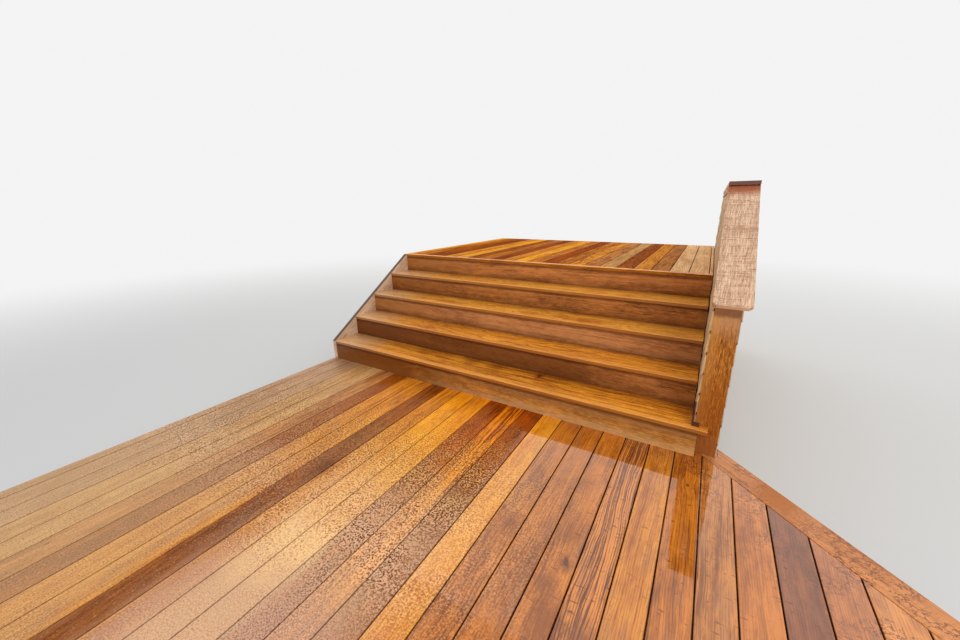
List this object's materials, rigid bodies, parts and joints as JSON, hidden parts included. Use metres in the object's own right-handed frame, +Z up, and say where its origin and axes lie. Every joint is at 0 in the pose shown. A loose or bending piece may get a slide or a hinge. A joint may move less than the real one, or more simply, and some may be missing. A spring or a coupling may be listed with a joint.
{
  "type": "wooden deck stairs",
  "caption": "Wide timber deck stair with boarded treads and full risers, between a skirt board and a shingled knee wall with a raked cap, joining a lower and an upper deck.",
  "frame": {"origin": "on the ground, under the middle of the overall length and width", "axes": "+Z up; +Y from the lower deck up the flight to the upper deck; +X from the house side to the knee wall"},
  "size_m": [4.2248, 6.1574, 1.995],
  "materials": {
    "lower_decking": "new oiled cedar boards, wet in patches",
    "border_board": "new cedar, drier",
    "upper_decking": "new oiled cedar boards, wet",
    "tread_cedar": "new oiled cedar, wet and glossy",
    "skirt_cedar": "pale planed cedar",
    "end_board_cedar": "rough-sawn cedar",
    "cap_cedar": "rough-sawn cedar with saw marks",
    "shingle": "sawn white cedar shingles",
    "dark_block": "dark wet end grain",
    "plywood": "plain plywood",
    "pale_riser": "pale planed cedar",
    "riser_cedar": "planed cedar, lightly stained",
    "framing": "treated softwood framing"
  },
  "bodies": {
    "root": {"house_skirt_board": "skirt_cedar", "level_cap": "cap_cedar", "lower_angled_border": "border_board", "lower_angled_rim": "framing", "lower_beams": "framing", "lower_cross_rims": "framing", "lower_deck_boards": "lower_decking", "lower_joists": "framing", "lower_long_rims": "framing", "lower_posts": "framing", "lower_side_border": "border_board", "raked_cap": "cap_cedar", "riser_1": "pale_riser", "riser_2": "riser_cedar", "riser_3": "riser_cedar", "riser_4": "riser_cedar", "riser_5": "riser_cedar", "stringers": "framing", "top_nosing_strip": "tread_cedar", "tread_1": "tread_cedar", "tread_2": "tread_cedar", "tread_3": "tread_cedar", "tread_4": "tread_cedar", "upper_back_rim": "framing", "upper_beams": "framing", "upper_deck_boards": "upper_decking", "upper_header": "framing", "upper_joists": "framing", "upper_posts": "framing", "upper_side_rims": "framing", "wall_back_board": "end_board_cedar", "wall_end_board": "end_board_cedar", "wall_foot_block": "dark_block", "wall_inner_shingles": "shingle", "wall_outer_shingles": "shingle", "wall_plates": "framing", "wall_posts": "framing", "wall_sheathing": "plywood", "wall_studs": "framing"}
  },
  "joints": []
}
